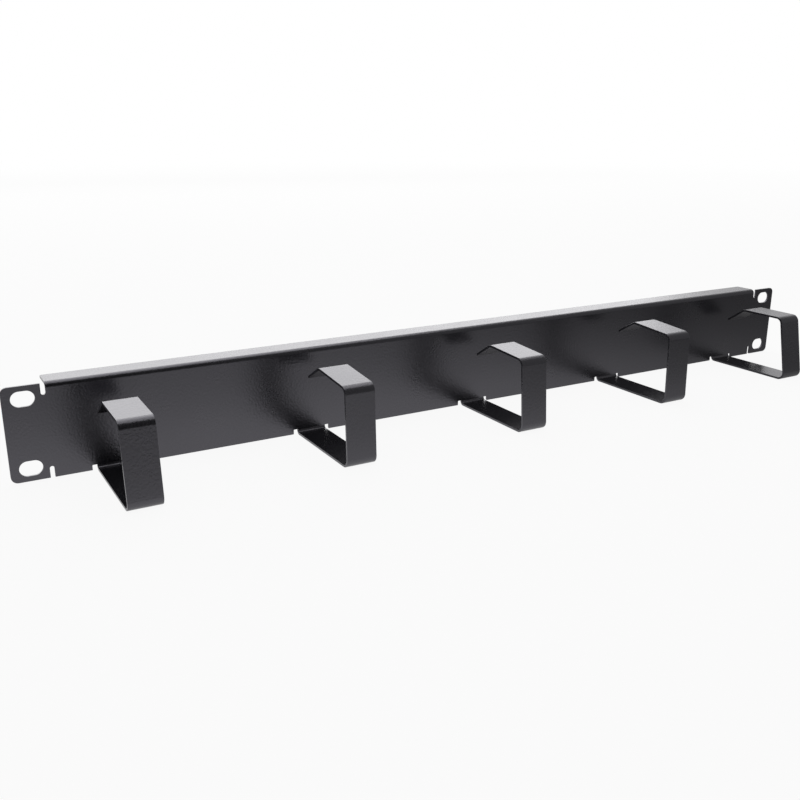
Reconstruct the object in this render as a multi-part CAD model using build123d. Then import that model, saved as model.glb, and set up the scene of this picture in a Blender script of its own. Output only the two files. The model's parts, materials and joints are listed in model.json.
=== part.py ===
from build123d import *
from math import cos, radians, sin
import os

# Horizontal cable manager for a 19 inch rack, one rack unit high.
# It is one folded steel sheet: a flat face between two ears, a flange folded back
# along the top, and a row of open cable rings along the bottom. Each ring is a tab of
# the same sheet, folded forward at the bottom of the face, up, back and down again.
#
# X runs along the panel, Z is up and the rings reach forward along -Y.
# The origin is the centre of the rack slot pattern, on the rear face that meets the
# rack rails. Lengths are in millimetres and angles in degrees.

# Sheet and bends, with inner radii. A ring is folded tightly at its root, like the
# flange, and rounder at its other bends
sheet = 1.2
bend_radius = 1.4
ring_bend_radius = 3.0

# Face, ears and top flange. The body's height runs from the rings' feet to the top of
# the flange, and the flat sheet of the face and ears stops a small step short of both
panel_width = 482.6
body_height = 44.0
flat_step = 0.25
ear_length = 18.3
ear_corner_radius = 3.0
flange_depth = 12.5
flange_corner_radius = 1.0

# Rack slots, in from the panel's ends and from its top and bottom: that puts them
# 465.1 apart across and 31.75 apart up and down, as the rack rails set it
rack_slot_inset_x = 8.75
rack_slot_inset_z = 6.125
rack_slot_length = 10.0
rack_slot_width = 7.0

# Bend relief slots, cut into the top and bottom of each ear beside the body
relief_width = 2.0
relief_depth = 5.3

# Cable rings, each measured along its outer side from corner to corner
ring_row_inset = 25.8
ring_width = 15.0
ring_reach = 56.3
ring_top_length = 28.2
ring_lip_length = 14.2

# Ring bends at the root and at the lip
ring_foot_bend = 90.0
ring_lip_bend = 35.0

# The rings differ a little. In order along X: the height of each one's front, how far
# the front leans back from upright, and how far the top is folded over from the front
ring_heights = (38.4, 38.4, 38.4, 39.6, 38.4)
ring_leans = (6.5, 2.0, 4.0, 1.5, 11.0)
ring_top_bends = (81.4, 82.4, 82.6, 84.1, 78.8)

# Relief notches, one on either side of each ring's root, from the bottom of the face
# to a little past the start of the ring's bend
notch_width = 2.2
notch_overrun = 0.1
notch_corner_radius = 0.4

# Sizes that follow from those above
outer_radius = bend_radius + sheet
ring_outer_radius = ring_bend_radius + sheet
half_height = body_height / 2
flat_height = body_height - 2 * flat_step
ear_end_x = panel_width / 2
body_end_x = ear_end_x - ear_length
rack_slot_x = ear_end_x - rack_slot_inset_x
rack_slot_z = half_height - rack_slot_inset_z
relief_centre_x = body_end_x + relief_width / 2
notch_height = outer_radius + notch_overrun
ring_row_end_x = body_end_x - ring_row_inset
ring_pitch = 2 * ring_row_end_x / (len(ring_heights) - 1)


def folded_section(corners, radii):
    """Section of a folded strip in the YZ plane, from the corners of its outer side.

    The outer side runs clockwise, seen from +X, so the sheet lies to its right.
    """
    with BuildSketch(Plane.YZ) as section:
        with BuildLine():
            outer_side = FilletPolyline(*corners, radius=radii)
            offset(outer_side, amount=sheet, side=Side.RIGHT)
        make_face()
    return section.sketch


def flanged_body():
    """The face and its top flange, between the ears. The bottom is a plain cut edge."""
    corners = [
        (-sheet, -flat_height / 2),
        (-sheet, half_height),
        (flange_depth, half_height),
    ]
    return extrude(folded_section(corners, outer_radius), amount=body_end_x, both=True)


def ring_corners(height, lean, top_bend):
    """Outer corners of one ring, from its root down, forward, up, back and down."""
    root_run = 2 * notch_height
    runs = (root_run, ring_reach + sheet, height, ring_top_length, ring_lip_length)
    turns = (ring_foot_bend, ring_foot_bend + lean, top_bend, ring_lip_bend, 0)
    corners = [(0, root_run - half_height)]
    heading = -90.0
    for run, turn in zip(runs, turns):
        y, z = corners[-1]
        corners.append((y + run * cos(radians(heading)), z + run * sin(radians(heading))))
        heading -= turn
    return corners


def cable_ring(centre_x, height, lean, top_bend):
    """One ring: a strip of the sheet, folded into an open loop."""
    radii = [outer_radius] + 3 * [ring_outer_radius]
    section = folded_section(ring_corners(height, lean, top_bend), radii)
    return Pos(X=centre_x) * extrude(section, amount=ring_width / 2, both=True)


def ring_notch(centre_x):
    """The cut that frees one ring's root from the face on either side."""
    width = ring_width + 2 * notch_width
    outline = RectangleRounded(width, 2 * notch_height, notch_corner_radius)
    cut = extrude(Plane.XZ * outline, amount=2 * sheet, both=True)
    return Pos(centre_x, 0, -half_height) * cut


def ear():
    """The right-hand ear: flat sheet with two rack slots and two relief slots."""
    outline = Pos(X=body_end_x + ear_length / 2) * Rectangle(ear_length, flat_height)
    outer_corners = outline.vertices().group_by(Axis.X)[-1]
    outline = fillet(outer_corners, ear_corner_radius)
    for side in (-1, 1):
        slot_centre = Pos(rack_slot_x, side * rack_slot_z)
        outline -= slot_centre * SlotOverall(rack_slot_length, rack_slot_width)
        relief_centre = Pos(relief_centre_x, side * flat_height / 2)
        outline -= relief_centre * SlotOverall(2 * relief_depth, relief_width, rotation=90)
    return extrude(Plane.XZ * outline, amount=sheet)


def rounded_flange(body):
    """Takes the sharp corners off the flange's free edge."""
    free_corners = body.edges().filter_by(Axis.Z).group_by(Axis.Y)[-1]
    return fillet(free_corners, flange_corner_radius)


def cable_manager():
    """The whole panel, as one solid."""
    ring_count = len(ring_heights)
    ring_centres = [place * ring_pitch - ring_row_end_x for place in range(ring_count)]
    body = flanged_body()
    for centre_x in ring_centres:
        body -= ring_notch(centre_x)
    body = rounded_flange(body)
    right_ear = ear()
    panel = body + right_ear + mirror(right_ear, about=Plane.YZ)
    for shape in zip(ring_centres, ring_heights, ring_leans, ring_top_bends):
        panel += cable_ring(*shape)
    return panel


os.makedirs("parts", exist_ok=True)
export_step(cable_manager(), "parts/cable_manager_panel.step")
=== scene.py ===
import json
from math import pi, radians

import bmesh
import bpy
from mathutils import Matrix, Vector

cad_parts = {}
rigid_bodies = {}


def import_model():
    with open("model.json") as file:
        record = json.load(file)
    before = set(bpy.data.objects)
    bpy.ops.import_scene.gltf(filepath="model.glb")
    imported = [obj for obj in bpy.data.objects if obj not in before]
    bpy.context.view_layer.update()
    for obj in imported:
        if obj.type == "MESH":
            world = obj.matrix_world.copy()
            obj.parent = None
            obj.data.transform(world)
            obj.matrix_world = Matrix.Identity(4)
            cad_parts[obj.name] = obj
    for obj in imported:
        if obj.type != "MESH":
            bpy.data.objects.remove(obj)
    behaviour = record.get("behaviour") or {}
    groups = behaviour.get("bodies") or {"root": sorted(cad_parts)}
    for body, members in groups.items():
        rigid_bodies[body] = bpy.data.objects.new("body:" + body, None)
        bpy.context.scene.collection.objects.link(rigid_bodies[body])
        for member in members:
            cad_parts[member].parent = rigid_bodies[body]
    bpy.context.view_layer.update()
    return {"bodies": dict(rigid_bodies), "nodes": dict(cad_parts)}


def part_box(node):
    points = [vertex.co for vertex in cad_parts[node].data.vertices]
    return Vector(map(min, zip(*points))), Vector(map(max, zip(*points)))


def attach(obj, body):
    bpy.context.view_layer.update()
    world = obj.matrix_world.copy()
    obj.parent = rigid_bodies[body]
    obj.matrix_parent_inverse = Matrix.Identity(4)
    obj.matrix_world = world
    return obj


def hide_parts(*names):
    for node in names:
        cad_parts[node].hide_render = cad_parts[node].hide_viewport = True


# Horizontal cable manager for a 19 inch rack: one folded steel sheet with five open
# rings, in a semi-gloss black powder coat. Lengths are in metres. X runs along the
# panel, Z is up and the rings reach forward along -Y.

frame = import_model()

panel_node = "cable_manager_panel"
panel_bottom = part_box(panel_node)[0].z
body_name = next(iter(frame["bodies"]))


# Shader expressions

class Wire:
    """One output of a shader node. Arithmetic on it adds Math nodes to its tree."""

    def __init__(self, socket):
        self.socket = socket

    def math(self, operation, *values):
        """A new Math node in the same tree, with these values on its inputs."""
        node = self.socket.id_data.nodes.new("ShaderNodeMath")
        node.operation = operation
        for place, value in enumerate(values):
            feed(node.inputs[place], value)
        return Wire(node.outputs[0])

    def __add__(self, other):
        return self.math("ADD", self, other)

    def __radd__(self, other):
        return self.math("ADD", other, self)

    def __sub__(self, other):
        return self.math("SUBTRACT", self, other)

    def __rsub__(self, other):
        return self.math("SUBTRACT", other, self)

    def __mul__(self, other):
        return self.math("MULTIPLY", self, other)

    def __rmul__(self, other):
        return self.math("MULTIPLY", other, self)


def feed(socket, value):
    """Links a wire to an input socket, or sets the input to a plain value."""
    if isinstance(value, Wire):
        socket.id_data.links.new(value.socket, socket)
    else:
        socket.default_value = value


class Shader:
    """A cleared node tree, of a material or of the world."""

    def __init__(self, owner):
        owner.use_nodes = True
        self.tree = owner.node_tree
        self.tree.nodes.clear()

    def node(self, kind, settings=None, inputs=None, output=0):
        """Any node: its settings are set first, then its sockets get values or wires."""
        made = self.tree.nodes.new(kind)
        for name, value in (settings or {}).items():
            setattr(made, name, value)
        for name, value in (inputs or {}).items():
            feed(made.inputs[name], value)
        return Wire(made.outputs[output]) if made.outputs else None


def noise(shader, place, scale, detail, breakup):
    """Soft noise through space, from 0 to 1."""
    return shader.node(
        "ShaderNodeTexNoise",
        {"noise_dimensions": "3D"},
        {"Vector": place, "Scale": scale, "Detail": detail, "Roughness": breakup},
    )


def fade(shader, value, start, end, low, high):
    """Runs smoothly from low to high while the value runs from start to end."""
    return shader.node(
        "ShaderNodeMapRange",
        {"interpolation_type": "SMOOTHSTEP"},
        {
            "Value": value,
            "From Min": start,
            "From Max": end,
            "To Min": low,
            "To Max": high,
        },
    )


# Powder coat. The gloss varies a little in soft clouds, and the orange peel is fine
# and shallow

coat_black = (0.004, 0.004, 0.0055, 1)
coat_gloss_tint = (0.925, 0.90, 1.0, 1)
coat_refraction = 1.9
coat_roughness = 0.28
cloud_change = 0.06
cloud_scale = 45.0
cloud_detail = 3.0
cloud_breakup = 0.5
peel_size = 0.0011
peel_height = 0.00008
peel_detail = 2.0
peel_breakup = 0.45


def powder_coat():
    """Semi-gloss black powder coat with a fine orange peel."""
    material = bpy.data.materials.new("black_powder_coat_finish")
    shader = Shader(material)
    place = shader.node("ShaderNodeTexCoord", output="Object")
    peel = noise(shader, place, 1 / peel_size, peel_detail, peel_breakup)
    cloud = noise(shader, place, cloud_scale, cloud_detail, cloud_breakup)
    normal = shader.node(
        "ShaderNodeBump",
        inputs={"Strength": 1.0, "Distance": peel_height, "Height": peel},
    )
    surface = shader.node(
        "ShaderNodeBsdfPrincipled",
        inputs={
            "Base Color": coat_black,
            "Roughness": coat_roughness + cloud_change * (cloud - 0.5),
            "IOR": coat_refraction,
            "Specular Tint": coat_gloss_tint,
            "Normal": normal,
        },
    )
    shader.node("ShaderNodeOutputMaterial", inputs={"Surface": surface})
    return material


# The coated panel

merge_distance = 0.000002
flat_angle = radians(0.5)
corner_angle = radians(40)
edge_round = 0.00012
edge_steps = 3


def coated_panel():
    """The CAD sheet as one smooth mesh, with the soft edges that the coat gives it."""
    sheet = bmesh.new()
    sheet.from_mesh(frame["nodes"][panel_node].data)
    bmesh.ops.remove_doubles(sheet, verts=sheet.verts, dist=merge_distance)
    bmesh.ops.dissolve_limit(
        sheet, angle_limit=flat_angle, verts=sheet.verts, edges=sheet.edges
    )
    corners = [edge for edge in sheet.edges if edge.calc_face_angle() > corner_angle]
    bmesh.ops.bevel(
        sheet,
        geom=corners,
        offset=edge_round,
        offset_type="OFFSET",
        affect="EDGES",
        segments=edge_steps,
        profile=0.5,
        material=-1,
    )
    for face in sheet.faces:
        face.smooth = True
    mesh = bpy.data.meshes.new("coated_panel")
    sheet.to_mesh(mesh)
    sheet.free()
    # The CAD mesh brings normals of its own, which don't fit the rounded edges
    if "custom_normal" in mesh.attributes:
        mesh.attributes.remove(mesh.attributes["custom_normal"])
    panel = bpy.data.objects.new("coated_panel", mesh)
    bpy.context.scene.collection.objects.link(panel)
    shading = panel.modifiers.new("flat faces stay flat", "WEIGHTED_NORMAL")
    shading.keep_sharp = False
    mesh.materials.append(powder_coat())
    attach(panel, body_name)
    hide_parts(panel_node)


# Floor. The whiteness is how much of the pale floor the camera and gloss see as plain
# light: the rest keeps the shadow. That light is dimmer in gloss to the panel's right
# and in front of it

pure_white = (1, 1, 1, 1)
floor_reach = 12.0
floor_pale = (0.8, 0.8, 0.8, 1)
near_whiteness = 0.92
near_end = 0.5
far_start = 3.0
dim_right_start = -0.1
dim_right_end = 0.34
dim_right_level = 0.23
dim_front_start = -0.02
dim_front_end = -0.14
dim_front_level = 0.66


def floor():
    """A pale floor. The camera and gloss see it nearly white, with the shadow kept."""
    mesh = bpy.data.meshes.new("floor")
    plane = bmesh.new()
    bmesh.ops.create_grid(plane, x_segments=1, y_segments=1, size=floor_reach)
    bmesh.ops.translate(plane, verts=plane.verts, vec=(0, 0, panel_bottom))
    plane.to_mesh(mesh)
    plane.free()
    ground = bpy.data.objects.new("floor", mesh)
    bpy.context.scene.collection.objects.link(ground)
    material = bpy.data.materials.new("pale floor")
    shader = Shader(material)
    place = shader.node("ShaderNodeTexCoord", output="Object")
    distance = shader.node(
        "ShaderNodeVectorMath", {"operation": "LENGTH"}, {0: place}, output="Value"
    )
    whiteness = fade(shader, distance, near_end, far_start, near_whiteness, 1.0)
    across = shader.node("ShaderNodeSeparateXYZ", inputs={0: place}, output="X")
    depth = shader.node("ShaderNodeSeparateXYZ", inputs={0: place}, output="Y")
    right_gloss = fade(shader, across, dim_right_start, dim_right_end, 1.0, dim_right_level)
    front_gloss = fade(shader, depth, dim_front_start, dim_front_end, 1.0, dim_front_level)
    gloss_level = right_gloss * front_gloss
    camera_ray = shader.node("ShaderNodeLightPath", output="Is Camera Ray")
    gloss_ray = shader.node("ShaderNodeLightPath", output="Is Glossy Ray")
    pale = shader.node("ShaderNodeBsdfDiffuse", inputs={"Color": floor_pale})
    white = shader.node("ShaderNodeEmission", inputs={"Color": pure_white, "Strength": 1.0})
    # A Mix Shader whose first shader is left out mixes the second one with black
    seen_light = shader.node(
        "ShaderNodeMixShader", inputs={0: camera_ray + gloss_ray * gloss_level, 2: white}
    )
    surface = shader.node(
        "ShaderNodeMixShader",
        inputs={0: (camera_ray + gloss_ray) * whiteness, 1: pale, 2: seen_light},
    )
    shader.node("ShaderNodeOutputMaterial", inputs={"Surface": surface})
    mesh.materials.append(material)


# Surroundings. Levels are shares of white, and the fades run over the X and Y of the
# direction that a ray looks in

room_level = 0.02
right_level = 0.32
right_start = 0.1
right_end = 0.6
backdrop_start = 0.0
backdrop_end = 0.5


def surroundings():
    """A dim room that is lighter on the right.

    The camera sees it white, and gloss sees it white behind the panel.
    """
    world = bpy.data.worlds.new("studio")
    bpy.context.scene.world = world
    shader = Shader(world)
    direction = shader.node("ShaderNodeTexCoord", output="Generated")
    across = shader.node("ShaderNodeSeparateXYZ", inputs={0: direction}, output="X")
    depth = shader.node("ShaderNodeSeparateXYZ", inputs={0: direction}, output="Y")
    level = fade(shader, across, right_start, right_end, room_level, right_level)
    behind = fade(shader, depth, backdrop_start, backdrop_end, 0.0, 1.0)
    camera_ray = shader.node("ShaderNodeLightPath", output="Is Camera Ray")
    gloss_ray = shader.node("ShaderNodeLightPath", output="Is Glossy Ray")
    seen_white = camera_ray + gloss_ray * behind
    white = shader.node("ShaderNodeBackground", inputs={"Color": pure_white, "Strength": 1.0})
    light = shader.node(
        "ShaderNodeMixShader", inputs={0: seen_white * (1 - level) + level, 2: white}
    )
    shader.node("ShaderNodeOutputWorld", inputs={"Surface": light})


# Softboxes: place, width and height, and a radiance in which the backdrop's white is 1

rear_softbox_place = (0.37, 1.5, 0.8)
rear_softbox_size = (2.46, 1.2)
rear_softbox_radiance = 1.55
top_softbox_place = (-0.1, 0.2, 1.5)
top_softbox_size = (1.8, 1.7)
top_softbox_radiance = 1.35


def softbox(name, place, size, radiance):
    """A rectangular soft light that faces the middle of the panel."""
    width, height = size
    lamp = bpy.data.lights.new(name, "AREA")
    lamp.shape = "RECTANGLE"
    lamp.size = width
    lamp.size_y = height
    lamp.energy = radiance * pi * width * height
    box = bpy.data.objects.new(name, lamp)
    bpy.context.scene.collection.objects.link(box)
    facing = (-Vector(place)).to_track_quat("-Z", "Y").to_matrix().to_4x4()
    box.matrix_world = Matrix.Translation(place) @ facing
    box.visible_camera = False


# Camera, from the photo's own perspective

camera_place = (-0.27629, -0.40434, 0.13139)
camera_heading = radians(29.65)
camera_dip = radians(17.29)
camera_roll = radians(0.02)
camera_lens = 40.99
camera_sensor = 36.0
camera_near = 0.01
camera_far = 100


def photo_camera():
    """The camera where the photo was taken from. Its heading turns from +Y to +X."""
    view = bpy.data.cameras.new("camera")
    view.lens = camera_lens
    view.sensor_width = camera_sensor
    view.clip_start = camera_near
    view.clip_end = camera_far
    camera = bpy.data.objects.new("camera", view)
    bpy.context.scene.collection.objects.link(camera)
    heading = Matrix.Rotation(-camera_heading, 4, "Z")
    dip = Matrix.Rotation(pi / 2 - camera_dip, 4, "X")
    roll = Matrix.Rotation(camera_roll, 4, "Z")
    camera.matrix_world = Matrix.Translation(camera_place) @ heading @ dip @ roll
    bpy.context.scene.camera = camera


coated_panel()
floor()
surroundings()
softbox("rear softbox", rear_softbox_place, rear_softbox_size, rear_softbox_radiance)
softbox("top softbox", top_softbox_place, top_softbox_size, top_softbox_radiance)
photo_camera()
bpy.context.scene.view_settings.view_transform = "Standard"
